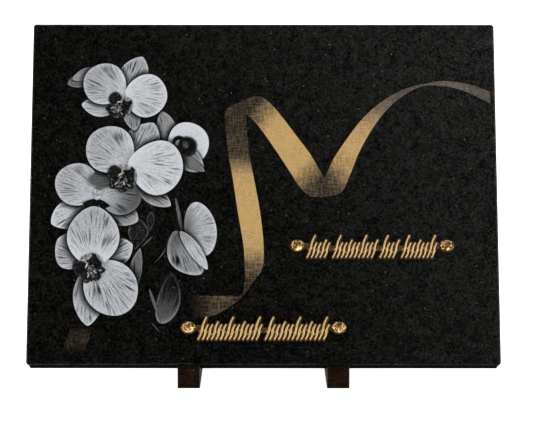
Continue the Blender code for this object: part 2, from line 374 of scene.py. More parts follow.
def petal(base, heading, length, half_width, tone, full=1.4, blunt=0.6, bend=0.0, veins=0.5, rim=0.08,
          throat=0.2, mottle=0.0, tip=1.0, shade=0.25, steps=PETAL_STEPS, rings=PETAL_RINGS):
    """Describe one petal. Its outline's half-width is (sin(pi * t ** full)) ** blunt along its length t."""
    forward = Vector((cos(radians(heading)), sin(radians(heading))))
    across = Vector((forward.y, -forward.x))
    angles = [pi * step / steps for step in range(steps)]
    turns = [(angle, 1) for angle in angles] + [(pi - angle, -1) for angle in angles]
    outline = []
    base = Vector(base)
    for turn, side in turns:
        share = (1 - cos(turn)) / 2
        swell = max(sin(pi * share ** full), 0) ** blunt * side
        offset = swell * half_width + bend * sin(pi * share) * length
        outline.append(base + forward * share * length + across * offset)
    middle = base + forward * 0.52 * length + across * bend * length
    return {"base": base, "forward": forward, "across": across, "length": length, "outline": outline,
            "middle": middle, "tone": tone, "veins": veins, "rim": rim, "throat": throat, "mottle": mottle,
            "tip": tip, "shade": shade, "rings": rings}


def mark(centre, half_width, half_height, turn, tone, mottle=0.0, rim=0.0):
    """An oval spot, made as a small petal; a long thin one has pointed ends."""
    if half_width > half_height:
        half_width, half_height = half_height, half_width
        turn += 90
    up = Vector((cos(radians(turn + 90)), sin(radians(turn + 90))))
    return petal(Vector(centre) - up * half_height, turn + 90, 2 * half_height, half_width, tone, full=1.0,
                 blunt=0.5 if half_width > half_height * 0.45 else 0.9, veins=0.0, rim=rim, throat=0.0,
                 mottle=mottle, steps=MARK_STEPS, rings=MARK_RINGS)


def reach_share(shape, point):
    """0 at a petal's middle, 1 on its outline, more outside."""
    away = point - shape["middle"]
    radius = away.length
    if radius < 1e-7:
        return 0.0
    angle = atan2(away.y, away.x)
    turns = shape["turns"]
    count = len(turns)
    for index in range(count):
        first, first_radius = turns[index]
        second, second_radius = turns[(index + 1) % count]
        if index + 1 == count:
            second += 2 * pi
        looked = angle if angle >= first else angle + 2 * pi
        if first <= looked <= second:
            share = (looked - first) / max(second - first, 1e-9)
            return radius / (first_radius + (second_radius - first_radius) * share)
    return radius / turns[0][1]


def add_turns(shape):
    """Note where a petal's outline lies round its middle, by angle, and how far out it goes."""
    spokes = [point - shape["middle"] for point in shape["outline"]]
    shape["turns"] = sorted((atan2(spoke.y, spoke.x), spoke.length) for spoke in spokes)
    shape["reach"] = max(spoke.length for spoke in spokes)


def picture_tone(shape, point):
    """Brightness, veins and mottling of a petal at a point of the face."""
    along = (point - shape["base"]).dot(shape["forward"]) / shape["length"]
    along = max(0, min(1, along))
    edge = reach_share(shape, point)
    tone = shape["tone"] * (1 - shape["throat"] * max(0, 1 - along * THROAT_FADE))
    tone *= 1 + (shape["tip"] - 1) * along * along * (3 - 2 * along)
    tone += shape["rim"] * max(0, min(1, (edge - RIM_START) / RIM_RISE))
    veins = shape["veins"] * min(1, 0.1 + along * THROAT_FADE) * max(0, min(1, 0.15 + 4 * (1 - edge)))
    return tone, veins, shape["mottle"]


def broad_petal(base, heading, length, half_width, tone, tip=1.0, full=1.06, blunt=0.5, veins=0.5):
    """One of an orchid's two round upper petals, bright at the throat."""
    return petal(base, heading, length, half_width, tone, full=full, blunt=blunt, veins=veins, rim=0.07,
                 throat=-0.05, tip=tip, shade=0.72)


def sepal(base, heading, length, half_width, tone, tip=1.0, full=1.0, bend=0.0, throat=0.45):
    """One of the three narrower petals behind, as a rule darker at its throat."""
    return petal(base, heading, length, half_width, tone, full=full, blunt=0.68, bend=bend, veins=0.66,
                 rim=0.11, throat=throat, tip=tip, shade=0.12)


# Marks of an orchid's heart, back to front: across, up, half-width and half-height as shares of its
# radius, then turn in degrees, tone, mottling and rim
HEART_MARKS = (
    (-0.02, -0.10, 0.66, 0.84, 0, 0.14, 0.85, 0.06),
    (-0.44, -0.44, 0.40, 0.26, 35, 0.16, 0.60, 0.22),
    (0.46, -0.46, 0.38, 0.26, -35, 0.14, 0.60, 0.20),
    (-0.46, 0.32, 0.48, 0.54, 15, 0.12, 0.35, 0.20),
    (0.50, 0.12, 0.42, 0.64, -12, 0.11, 0.35, 0.16),
    (0.02, -0.16, 0.36, 0.42, 0, 0.42, 1.00, 0.00),
    (0.05, -0.78, 0.34, 0.20, 0, 0.22, 0.80, 0.18),
    (0.20, 0.72, 0.40, 0.19, -12, 0.80, 0.55, 0.00),
    (0.90, 0.10, 0.10, 0.48, 5, 0.68, 0.45, 0.00),
    (-0.06, 0.26, 0.22, 0.05, 30, 0.90, 0.00, 0.00),
    (0.04, 0.50, 0.04, 0.24, -6, 0.72, 0.00, 0.00),
    (0.14, -0.36, 0.05, 0.17, 14, 0.80, 0.00, 0.00),
    (-0.34, -0.36, 0.16, 0.06, 42, 0.76, 0.20, 0.00),
    (0.48, -0.50, 0.17, 0.05, -35, 0.62, 0.20, 0.00),
    (-0.12, -0.58, 0.14, 0.05, -10, 0.55, 0.30, 0.00),
)


def heart(centre, radius, turn=0.0):
    """The dark lip between the petals, with its hollow side lobes, mottled tongue, glints and pale cap."""
    spin = Matrix.Rotation(radians(turn), 2)
    parts = []
    for across, up, half_width, half_height, mark_turn, tone, mottle, rim in HEART_MARKS:
        place = Vector(centre) + spin @ Vector((across, up)) * radius
        size = (half_width * radius, half_height * radius)
        parts.append(mark(place, *size, turn + mark_turn, tone, mottle, rim))
    return parts


def leaves():
    """Leaves, stems and tendrils in shade, low in the spray."""
    return [
        petal((-0.0862, 0.0350), 79, 0.0445, 0.0098, 0.44, full=0.8, bend=0.05, veins=0.6, rim=0.16,
              throat=0.1, tip=0.1),
        petal((-0.0870, 0.0364), 109, 0.0300, 0.0012, 0.42, veins=0.3, rim=0.1),
        petal((-0.0869, 0.0268), 131, 0.0120, 0.0006, 0.30, veins=0.0, rim=0.0),
        petal((-0.1093, 0.0987), 81, 0.0270, 0.0086, 0.17, blunt=0.8, veins=0.5, rim=0.20, mottle=0.3),
        petal((-0.1050, 0.1000), 45, 0.0150, 0.0008, 0.34, veins=0.0, rim=0.0),
        petal((-0.1096, 0.0560), 84, 0.0445, 0.0052, 0.46, full=1.2, blunt=0.8, bend=-0.04, veins=0.6,
              rim=0.12),
        petal((-0.0968, 0.1150), 87, 0.0172, 0.0032, 0.16, blunt=0.8, veins=0.5, rim=0.18),
        petal((-0.0695, 0.1150), 101, 0.0300, 0.0014, 0.42, full=0.8, veins=0.2, rim=0.06),
        petal((-0.0930, 0.0872), 62, 0.0270, 0.0007, 0.40, bend=0.10, veins=0.0, rim=0.0),
    ]


def side_flower():
    """Half-open flower on the right, with a bud before it, then a flower seen from the side below it."""
    return [
        sepal((-0.0790, 0.1920), 107, 0.0305, 0.0078, 0.66),
        petal((-0.0803, 0.1850), 27, 0.0352, 0.0190, 1.04, full=1.0, blunt=0.5, veins=0.12, throat=0.0),
        sepal((-0.0800, 0.1900), 323, 0.0355, 0.0100, 0.68),
        sepal((-0.0740, 0.1830), 327, 0.0280, 0.0042, 0.50),
        mark((-0.0735, 0.1950), 0.0052, 0.0040, 20, 0.06),
        mark((-0.0727, 0.1932), 0.0034, 0.0024, 20, 0.80),
        mark((-0.0800, 0.1915), 0.0050, 0.0012, 25, 0.06),
        mark((-0.0656, 0.1900), 0.0078, 0.0082, 25, 0.07, 0.2, 0.10),
        mark((-0.0672, 0.1916), 0.0024, 0.0036, 20, 0.34, 0.6),
        petal((-0.0670, 0.1145), 12, 0.0270, 0.0238, 0.86, full=1.0, blunt=0.5, veins=0.45, rim=0.10,
              throat=0.60),
        petal((-0.0765, 0.1150), 302, 0.0440, 0.0142, 0.66, full=1.0, blunt=0.6, bend=0.06, veins=0.85,
              rim=0.18, throat=0.55),
        petal((-0.0710, 0.1150), 305, 0.0405, 0.0054, 0.90, full=0.95, bend=-0.02, veins=0.5, rim=0.06,
              throat=0.3),
    ]


def flowers():
    """The spray on the left of the face, from the back to the front: generic orchids, upper over lower."""
    bud = [
        petal((-0.1480, 0.2560), 207, 0.0235, 0.0066, 0.46, full=0.9, veins=0.7, rim=0.14, bend=-0.05),
        petal((-0.1480, 0.2600), 211, 0.0200, 0.0046, 0.66, full=0.9, veins=0.4, rim=0.06, bend=-0.05),
    ]
    left_middle = [
        sepal((-0.1500, 0.1382), 208, 0.0352, 0.0125, 0.86, tip=1.10, throat=0.7),
        sepal((-0.1380, 0.1404), 332, 0.0350, 0.0118, 0.50, tip=1.45, throat=0.8),
        broad_petal((-0.1405, 0.1500), -12, 0.0365, 0.0168, 0.88, tip=0.42),
        broad_petal((-0.1405, 0.1485), 158, 0.0398, 0.0188, 0.90, tip=0.88),
        mark((-0.1430, 0.1385), 0.0120, 0.0050, -6, 0.08, 0.6),
        mark((-0.1418, 0.1490), 0.0042, 0.0066, -10, 0.88, 0.3),
    ]
    lowest = [
        sepal((-0.1500, 0.0830), 272, 0.0500, 0.0132, 0.74, tip=1.12, bend=-0.02),
        sepal((-0.1430, 0.0895), 24, 0.0345, 0.0128, 0.86, full=1.1, throat=0.3),
        sepal((-0.1460, 0.0890), 147, 0.0350, 0.0184, 0.86, tip=0.9, full=1.1, throat=0.3),
        broad_petal((-0.1430, 0.0868), -57, 0.0500, 0.0226, 0.88, tip=0.97, full=0.98, blunt=0.46,
                    veins=0.8),
        broad_petal((-0.1455, 0.0850), 89, 0.0520, 0.0224, 0.98, tip=0.80, full=0.94, blunt=0.56),
        *heart((-0.1477, 0.0828), 0.0132, 35),
    ]
    middle = [
        sepal((-0.1260, 0.1620), 185, 0.0250, 0.0084, 0.40, full=0.9),
        sepal((-0.1090, 0.1560), 328, 0.0350, 0.0080, 0.66, tip=1.1),
        sepal((-0.1165, 0.1720), 60, 0.0445, 0.0158, 0.94, tip=0.80, throat=0.0),
        broad_petal((-0.1150, 0.1730), 140, 0.0430, 0.0212, 0.93, tip=0.84, veins=0.6),
        broad_petal((-0.1160, 0.1765), -12, 0.0474, 0.0244, 1.02, tip=0.95, full=1.22),
        *heart((-0.1215, 0.1620), 0.0132),
    ]
    top = [
        sepal((-0.1260, 0.2235), 173, 0.0310, 0.0090, 0.82, tip=1.05),
        sepal((-0.1165, 0.2320), 282, 0.0285, 0.0074, 0.60, tip=1.1),
        sepal((-0.1205, 0.2350), 66, 0.0385, 0.0126, 0.93, tip=0.78, throat=0.0),
        broad_petal((-0.1205, 0.2360), 150, 0.0380, 0.0188, 0.92, tip=0.84, veins=0.6),
        broad_petal((-0.1195, 0.2385), -10, 0.0365, 0.0195, 0.98, tip=0.96),
        *heart((-0.1249, 0.2266), 0.0118, -25),
    ]
    return leaves() + bud + side_flower() + left_middle + lowest + middle + top


# Ribbon: pairs of edge points on the face in metres, with the glow and the fading there
RIBBON = (
    ((-0.064, 0.060), (-0.064, 0.040), 0.00, 0.3),
    ((-0.046, 0.059), (-0.046, 0.041), 0.30, 0.3),
    ((-0.030, 0.059), (-0.034, 0.046), 0.38, 0.2),
    ((-0.019, 0.060), (-0.018, 0.058), 0.24, 0.2),
    ((-0.016, 0.070), (-0.011, 0.068), 0.24, 0.2),
    ((-0.016, 0.084), (-0.001, 0.083), 0.45, 0.1),
    ((-0.017, 0.102), (0.000, 0.102), 0.94, 0.0),
    ((-0.022, 0.132), (-0.003, 0.132), 1.00, 0.0),
    ((-0.027, 0.165), (-0.009, 0.165), 0.94, 0.0),
    ((-0.030, 0.181), (-0.012, 0.181), 0.33, 0.2),
    ((-0.033, 0.209), (-0.015, 0.209), 0.255, 0.3),
    ((-0.032, 0.223), (-0.0155, 0.217), 0.26, 0.3),
    ((-0.017, 0.231), (-0.0150, 0.2180), 0.25, 0.3),
    ((-0.004, 0.235), (-0.0135, 0.2175), 0.27, 0.3),
    ((0.007, 0.227), (-0.006, 0.210), 0.66, 0.0),
    ((0.016, 0.216), (0.002, 0.199), 0.97, 0.0),
    ((0.027, 0.201), (0.012, 0.184), 1.00, 0.0),
    ((0.040, 0.183), (0.024, 0.165), 0.95, 0.0),
    ((0.048, 0.169), (0.031, 0.154), 0.50, 0.0),
    ((0.0510, 0.1640), (0.0400, 0.1460), 0.31, 0.2),
    ((0.0524, 0.1622), (0.0560, 0.1460), 0.29, 0.3),
    ((0.0540, 0.1655), (0.0670, 0.1500), 0.36, 0.2),
    ((0.0600, 0.1790), (0.0740, 0.1650), 0.80, 0.0),
    ((0.0690, 0.1930), (0.0830, 0.1870), 0.98, 0.0),
    ((0.082, 0.211), (0.095, 0.208), 0.85, 0.10),
    ((0.095, 0.2245), (0.106, 0.2225), 0.58, 0.5),
    ((0.110, 0.2355), (0.1165, 0.2325), 0.44, 0.8),
    ((0.125, 0.2425), (0.129, 0.2405), 0.40, 0.9),
    ((0.139, 0.2460), (0.140, 0.2445), 0.44, 1.0),
    ((0.153, 0.2485), (0.155, 0.2440), 0.47, 1.0),
    ((0.167, 0.2475), (0.168, 0.2415), 0.48, 1.0),
    ((0.181, 0.2445), (0.181, 0.2360), 0.43, 1.0),
    ((0.1955, 0.2390), (0.1955, 0.2285), 0.40, 1.0),
)
RIBBON_END = (
    ((-0.1618, 0.0350), (-0.1440, 0.0345), 0.00, 0.3),
    ((-0.1640, 0.0285), (-0.1455, 0.0280), 0.17, 0.3),
    ((-0.1665, 0.0200), (-0.1480, 0.0200), 0.21, 0.3),
    ((-0.1690, 0.0140), (-0.1500, 0.0140), 0.15, 0.4),
    ((-0.1712, 0.0085), (-0.1515, 0.0085), 0.00, 0.5),
)
RIBBON_SPANS = 4


def through(points, position):
    """Smooth curve through a list of points, with slopes no longer than the stretch they bound."""
    index = min(int(position), len(points) - 2)
    share = position - index
    before = points[max(index - 1, 0)]
    start = points[index]
    end = points[index + 1]
    after = points[min(index + 2, len(points) - 1)]
    longest = (end - start).length
    first = (end - before) * 0.5
    second = (after - start) * 0.5
    if first.length > longest:
        first *= longest / first.length
    if second.length > longest:
        second *= longest / second.length
    a = (start - end) * 2 + first + second
    b = (end - start) * 3 - first * 2 - second
    return ((a * share + b) * share + first) * share + start


def ribbon_steps(stations):
    """Closely spaced stations on smooth edges: both edge points, glow and fading."""
    nears = [Vector(station[0]) for station in stations]
    fars = [Vector(station[1]) for station in stations]
    steps = []
    for step in range((len(stations) - 1) * RIBBON_SPANS + 1):
        position = step / RIBBON_SPANS
        index = min(int(position), len(stations) - 2)
        share = position - index
        glow = stations[index][2] * (1 - share) + stations[index + 1][2] * share
        faded = stations[index][3] * (1 - share) + stations[index + 1][3] * share
        steps.append((through(nears, position), through(fars, position), glow, faded))
    return steps


# Face of the slab, cut along every outline of the picture
GRANITE_FACE = 0
PETAL_FACE = 1
RIBBON_FACE = 2
REAR_FACE = 3
UNDER_FACE = 4
ARRIS_FACE = 5
LOW_ARRIS_FACE = 6
SAME_POINT = 2e-5
SAME_PLACE = 1e-6


def face_outlines(rim, petals):
    """All outlines to cut the face along: its rim, the ribbon's, then each petal's rings."""
    outlines = [rim]
    owners = [("granite", None)]
    for stations in (RIBBON, RIBBON_END):
        steps = ribbon_steps(stations)
        for before, after in zip(steps, steps[1:]):
            outlines.append([before[1], after[1], after[0], before[0]])
            owners.append(("ribbon", (before, after)))
    for shape in petals:
        add_turns(shape)
        for scale in shape["rings"]:
            middle = shape["middle"]
            outlines.append([middle + (point - middle) * scale for point in shape["outline"]])
            owners.append(("petal", shape) if scale == 1.0 else ("ring", None))
    return outlines, owners


def distinct(outline):
    """Drop points that coincide with the one before, and run the outline anticlockwise."""
    kept = []
    for point in outline:
        if not kept or (point - kept[-1]).length > SAME_POINT:
            kept.append(point)
    if (kept[0] - kept[-1]).length <= SAME_POINT:
        kept.pop()
    turned = sum(before.cross(after) for before, after in zip(kept, kept[1:] + kept[:1]))
    return kept if turned > 0 else kept[::-1]


def cut_face(outlines):
    """Points and faces of the front, cut along all outlines, and the outlines that cover each face."""
    corners = []
    loops = []
    for outline in outlines:
        outline = distinct(outline)
        loops.append(list(range(len(corners), len(corners) + len(outline))))
        corners += outline
    places, _, faces, _, _, covers = delaunay_2d_cdt(corners, [], loops, 1, SAME_PLACE)
    return places, faces, covers


def ribbon_shares(pair, point):
    """Glow and fading at a point of one short stretch of ribbon."""
    (near_a, far_a, glow_a, faded_a), (near_b, far_b, glow_b, faded_b) = pair
    start = min((point - near_a).length, (point - far_a).length)
    end = min((point - near_b).length, (point - far_b).length)
    share = start / max(start + end, 1e-9)
    return glow_a + (glow_b - glow_a) * share, faded_a + (faded_b - faded_a) * share


def cover_shade(petals, rank, point):
    """Soft shade that the petals above cast on what lies below them."""
    shade = 1.0
    dark = petals[rank]["shade"]
    for shape in petals[rank + 1:]:
        near = (point - shape["middle"]).length < shape["reach"] * (1.02 + SHADOW_REACH)
        if near and shape["reach"] > SHADOW_CASTER:
            away = max(0, reach_share(shape, point) - 1) / SHADOW_REACH
            if away < 1:
                shade = min(shade, dark + (1 - dark) * away)
    return shade


def slab_stone():
    """The stone with rounded arrises and an open front, and the rim of that opening."""
    bm = bmesh.new()
    bmesh.ops.create_cube(bm, size=1.0)
    bmesh.ops.scale(bm, vec=(SLAB_WIDTH, SLAB_THICKNESS, SLAB_HEIGHT), verts=bm.verts)
    bmesh.ops.translate(bm, vec=(0, SLAB_THICKNESS / 2, SLAB_HEIGHT / 2), verts=bm.verts)
    corners = [edge for edge in bm.edges if abs(edge.verts[0].co.y - edge.verts[1].co.y) > CLEARANCE]
    round_edges(bm, corners, SLAB_CORNER, 4)
    arrises = [edge for edge in bm.edges if edge.calc_face_angle() > radians(60)]
    round_edges(bm, arrises, SLAB_CHAMFER, 4, material=ARRIS_FACE)
    bm.normal_update()
    big = [face for face in bm.faces if max(abs(part) for part in face.normal) > 0.9999]
    front = min(big, key=lambda face: face.calc_center_median().y)
    rear = max(big, key=lambda face: face.calc_center_median().y)
    under = min(big, key=lambda face: face.calc_center_median().z)
    for face in bm.faces:
        face.smooth = face not in big
        if face.material_index == ARRIS_FACE and face.calc_center_median().z < SLAB_CHAMFER:
            face.material_index = LOW_ARRIS_FACE
    rim = [Vector((corner.co.x, corner.co.z)) for corner in front.verts]
    rear.material_index = REAR_FACE
    under.material_index = UNDER_FACE
    bmesh.ops.delete(bm, geom=[front], context="FACES_ONLY")
    return bm, rim


def fill_front(bm, rim):
    """Close the front with faces cut along the picture's outlines, and give them its flat colour."""
    petals = flowers()
    outlines, owners = face_outlines(rim, petals)
    places, faces, face_covers = cut_face(outlines)
    ranks = {id(shape): rank for rank, shape in enumerate(petals)}
    bm.loops.layers.uv.new(SPOT_MAP)
    bm.loops.layers.float_color.new(TONE_MAP)
    uv_layer = bm.loops.layers.uv[SPOT_MAP]
    tone_layer = bm.loops.layers.float_color[TONE_MAP]
    corners = [bm.verts.new((place.x, 0, place.y)) for place in places]
    for indexes, covers in zip(faces, face_covers):
        tops = [owners[cover] for cover in covers if owners[cover][0] != "ring"]
        shapes = [owner for kind, owner in tops if kind == "petal"]
        bands = [owner for kind, owner in tops if kind == "ribbon"]
        if not tops:
            continue
        face = bm.faces.new([corners[index] for index in indexes])
        face.normal_update()
        if face.normal.y > 0:
            face.normal_flip()
        face.smooth = False
        top = max(shapes, key=lambda shape: ranks[id(shape)]) if shapes else None
        face.material_index = PETAL_FACE if top else RIBBON_FACE if bands else GRANITE_FACE
        for loop in face.loops:
            point = Vector((loop.vert.co.x, loop.vert.co.z))
            if top:
                away = point - top["base"]
                loop[uv_layer].uv = (away.dot(top["across"]), away.dot(top["forward"]) + FAN_SETBACK)
                tone, veins, mottle = picture_tone(top, point)
                tone *= cover_shade(petals, ranks[id(top)], point)
                loop[tone_layer] = (max(tone, 0), veins, mottle, 1)
            elif bands:
                loop[uv_layer].uv = point
                glow, faded = ribbon_shares(bands[-1], point)
                loop[tone_layer] = (max(glow, 0), faded, 0, 1)
            else:
                loop[uv_layer].uv = point
    bmesh.ops.remove_doubles(bm, verts=bm.verts, dist=SAME_PLACE)


def make_slab(materials):
    bm, rim = slab_stone()
    fill_front(bm, rim)
    slab = finish_piece("plaque_stone", bm, SLAB_PLACE)
    stand_for(slab, "granite_slab", "black_granite", *materials)


# Feet
def on_slab(depth, rise):
    """World Y and Z of a point given by its depth behind the face and its rise up it."""
    y = EDGE_Y + depth * cos(SLAB_LEAN) + rise * sin(SLAB_LEAN)
    z = EDGE_Z - depth * sin(SLAB_LEAN) + rise * cos(SLAB_LEAN)
    return y, z


def make_foot(node, granite, arris):
    """A sawn block, notched for the slab, with polished arrises."""
    low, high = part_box(node)
    behind = SLAB_THICKNESS + CLEARANCE
    seat_start = (low.y - EDGE_Y + CLEARANCE * sin(SLAB_LEAN)) / cos(SLAB_LEAN)
    profile = [
        (low.y, 0),
        on_slab(seat_start, -CLEARANCE),
        on_slab(behind, -CLEARANCE),
        on_slab(behind, BACK_REST_HEIGHT),
        (high.y, FOOT_REAR_HEIGHT),
        (high.y, 0),
    ]
    bm = bmesh.new()
    extrude_outline(bm, [(low.x, y, z) for y, z in profile], (high.x - low.x, 0, 0))
    bmesh.ops.recalc_face_normals(bm, faces=bm.faces)
    sharp = [edge for edge in bm.edges if edge.calc_face_angle() > radians(15)]
    round_edges(bm, sharp, FOOT_ARRIS, 3, material=1)
    foot = finish_piece(f"{node}_block", bm, smooth_angle=radians(24))
    stand_for(foot, node, "brown_granite", granite, arris)


# Bronze strips
CAP_STEPS = 5
STROKE_SPANS = 10
WAVE_STEPS = 6
LOBE_STEPS = 5
PAD_STEPS = 30
PLATE_ROUNDING = 0.00025
STROKE_ROUNDING = 0.00045
STUD_ROUNDING = 0.00022


def stroke_pitch(groups):
    slots = sum(groups) + len(groups) - 1
    room = STUD_SPACING - STUD_WIDTH - 2 * (PAD_MARGIN + END_SPACE) - LOW_STROKE * tan(STROKE_SLANT)
    return room / (slots - 1)


def stroke_places(groups):
    """Foot of each stroke along the strip, with its height, group by group."""
    pitch = stroke_pitch(groups)
    foot = PAD_MARGIN + END_SPACE - (STUD_SPACING - STUD_WIDTH) / 2
    placed = []
    for count in groups:
        group = []
        for index in range(count):
            group.append((foot, STROKE_TURNS[index % len(STROKE_TURNS)]))
            foot += pitch
        placed.append(group)
        foot += pitch
    return placed


def stroke_point(foot, height, share):
    """Point on a stroke's curved middle line, from its foot (0) to its head (1)."""
    lean = share * height * tan(STROKE_SLANT)
    return foot + lean + STROKE_SWAY * sin(2 * pi * share), share * height


def arc(centre, radius, start, end, steps):
    """Points on an arc, with its angles in turns of pi."""
    angles = [pi * (start + (end - start) * step / steps) for step in range(steps + 1)]
    return [(centre[0] + radius * cos(angle), centre[1] + radius * sin(angle)) for angle in angles]


def stroke_outline(foot, height, full_width):
    """A stroke that swells in its middle and has round ends."""
    left = []
    right = []
    for step in range(STROKE_SPANS + 1):
        share = step / STROKE_SPANS
        width = STROKE_TIP_WIDTH + (full_width - STROKE_TIP_WIDTH) * sin(pi * share) ** 0.6
        x, z = stroke_point(foot, height, share)
        left.append((x - width / 2, z))
        right.append((x + width / 2, z))
    tip = STROKE_TIP_WIDTH / 2
    head = arc(stroke_point(foot, height, 1), tip, 0, 1, CAP_STEPS)[1:-1]
    heel = arc(stroke_point(foot, height, 0), tip, 1, 2, CAP_STEPS)[1:-1]
    return right + head + left[::-1] + heel


def wave_outline(group, pitch):
    middle = LOW_STROKE / 2
    start = group[0][0] + middle * tan(STROKE_SLANT) - pitch / 2
    above = []
    below = []
    for step in range(len(group) * WAVE_STEPS + 1):
        turn = 2 * pi * step / (WAVE_STEPS * WAVE_PITCHES)
        x = start + step * pitch / WAVE_STEPS
        z = middle + WAVE_SWING * sin(turn)
        above.append((x, z + WAVE_WIDTH / 2))
        below.append((x, z - WAVE_WIDTH / 2))
    return below + above[::-1]


def pad_arc(side):
    """Oval pad under a stud, as an arc that starts and ends at the strip's neck."""
    half_width = STUD_WIDTH / 2 + PAD_MARGIN
    half_height = STUD_HEIGHT / 2 + PAD_MARGIN
    opening = NECK_HALF_HEIGHT / half_height
    points = []
    for step in range(PAD_STEPS + 1):
        turn = opening + (2 * pi - 2 * opening) * step / PAD_STEPS
        x = side * (STUD_SPACING / 2 - half_width * cos(turn))
        points.append((x, STUD_RISE + half_height * sin(turn)))
    return points


def lobe(foot, height, end):
    """Arc that rounds a stroke's head (end 1) or foot (end -1) with the plate's margin, left to right."""
    centre = stroke_point(foot, height, 1 if end > 0 else 0)
    return arc(centre, PLATE_MARGIN, end, 0, LOBE_STEPS)


def flank(foot, height, rise, side):
    share = min(rise / height, 1)
    x, z = stroke_point(foot, height, share)
    return x + side * PLATE_MARGIN, z


def plate_outline(groups):
    """Lobes round the strokes, necks between groups, pads at the ends."""
    placed = stroke_places(groups)
    heads = []
    feet = []
    for index, group in enumerate(placed):
        left_rise = GROUP_NECK_RISE if index else STUD_RISE
        right_rise = GROUP_NECK_RISE if index + 1 < len(placed) else STUD_RISE
        heads.append(flank(*group[0], left_rise + NECK_HALF_HEIGHT, -1))
        feet.append(flank(*group[0], left_rise - NECK_HALF_HEIGHT, -1))
        for foot, height in group:
            heads += lobe(foot, height, 1)
            feet += lobe(foot, height, -1)
        heads.append(flank(*group[-1], right_rise + NECK_HALF_HEIGHT, 1))
        feet.append(flank(*group[-1], right_rise - NECK_HALF_HEIGHT, 1))
    return pad_arc(-1)[::-1] + heads + pad_arc(1) + feet[::-1]


def raised_shape(bm, outline, root, crest, rounding, segments):
    """Extrude an outline from root to crest above the face and round its upper edge."""
    top = extrude_outline(bm, [(x, -root, z) for x, z in outline], (0, root - crest, 0))
    round_edges(bm, top.edges[:], rounding, segments)


def make_strip(node, centre, rise, groups, stroke_width, bronze):
    bm = bmesh.new()
    plate_top = CLEARANCE + PLATE_THICKNESS
    raised_shape(bm, plate_outline(groups), CLEARANCE, plate_top, PLATE_ROUNDING, 2)
    pitch = stroke_pitch(groups)
    root = plate_top - PLATE_THICKNESS / 4
    for group in stroke_places(groups):
        for foot, height in group:
            stroke = stroke_outline(foot, height, stroke_width)
            raised_shape(bm, stroke, root, plate_top + STROKE_RELIEF, STROKE_ROUNDING, 3)
        raised_shape(bm, wave_outline(group, pitch), root, plate_top + WAVE_RELIEF, PLATE_ROUNDING, 2)
    bmesh.ops.recalc_face_normals(bm, faces=bm.faces)
    place = SLAB_PLACE @ Matrix.Translation((centre, 0, rise))
    strip = finish_piece(f"{node}_casting", bm, place, radians(40))
    stand_for(strip, node, "strip_bronze", bronze)


# Studs
def raise_top(bm, faces, height, keep_base=False):
    """Extrude faces along Z and give back the raised ones, leaving the old ones only as a base."""
    raised = bmesh.ops.extrude_face_region(bm, geom=faces)["geom"]
    corners = [part for part in raised if isinstance(part, bmesh.types.BMVert)]
    bmesh.ops.translate(bm, vec=(0, 0, height), verts=corners)
    if not keep_base:
        bmesh.ops.delete(bm, geom=faces, context="FACES_ONLY")
    return [part for part in raised if isinstance(part, bmesh.types.BMFace)]


def make_stud(node, centre, rise, brass):
    """Oval stud: a low rim and flat facets, with softened edges, that rise to a small blunt tip."""
    bm = bmesh.new()
    bmesh.ops.create_circle(bm, cap_ends=True, segments=2 * STUD_FACETS, radius=STUD_WIDTH / 2)
    top = raise_top(bm, bm.faces[:], STUD_RIM, keep_base=True)
    bmesh.ops.inset_region(bm, faces=top, thickness=STUD_RIM_INSET, use_even_offset=True)
    chord = cos(pi / STUD_FACETS)
    for index, corner in enumerate(top[0].verts):
        if index % 2:
            corner.co.x *= chord
            corner.co.y *= chord
    top = raise_top(bm, top, STUD_PROJECTION - STUD_RIM)
    tip = (STUD_TIP_SHARE, STUD_TIP_SHARE, 1)
    bmesh.ops.scale(bm, vec=tip, space=Matrix.Translation((0, 0, -STUD_PROJECTION)), verts=top[0].verts)
    bmesh.ops.scale(bm, vec=(1, STUD_HEIGHT / STUD_WIDTH, 1), verts=bm.verts)
    bmesh.ops.recalc_face_normals(bm, faces=bm.faces)
    sharp = [edge for edge in bm.edges if edge.calc_face_angle() > radians(12)]
    round_edges(bm, sharp, STUD_ROUNDING, 2)
    seat = -(PLATE_THICKNESS + 2 * CLEARANCE)
    place = SLAB_PLACE @ Matrix.Translation((centre, seat, rise + STUD_RISE))
    stud = finish_piece(f"{node}_cap", bm, place @ Matrix.Rotation(pi / 2, 4, "X"), radians(25))
    stand_for(stud, node, "stud_bronze", brass)


# Metals
PATINA_DARK = (0.040, 0.018, 0.0055)
PATINA_PALE = (0.105, 0.050, 0.017)
CREST_DEEP = (0.70, 0.45, 0.15)
CREST_PALE = (0.98, 0.71, 0.33)
WEAR_START = 0.0007
WEAR_END = 0.0012
BRASS_FOOT = (0.10, 0.05, 0.022)
BRASS_CLEAN = (0.80, 0.53, 0.21)
# The tarnish colour below is also the painted dark reflection on each stud's crown
BRASS_TARNISH_AND_PAINTED_SHADE = (0.075, 0.034, 0.010)


def height_over_face(shader):
    """Height of a point above the slab's face, in metres."""
    settings = {"operation": "DOT_PRODUCT"}
    along = shader.node("ShaderNodeVectorMath", "Value", settings, i0=shader.place(), i1=tuple(FACE_OUT))
    foot = Vector((0, EDGE_Y, EDGE_Z)).dot(FACE_OUT)
    return shader.math("SUBTRACT", along, foot)


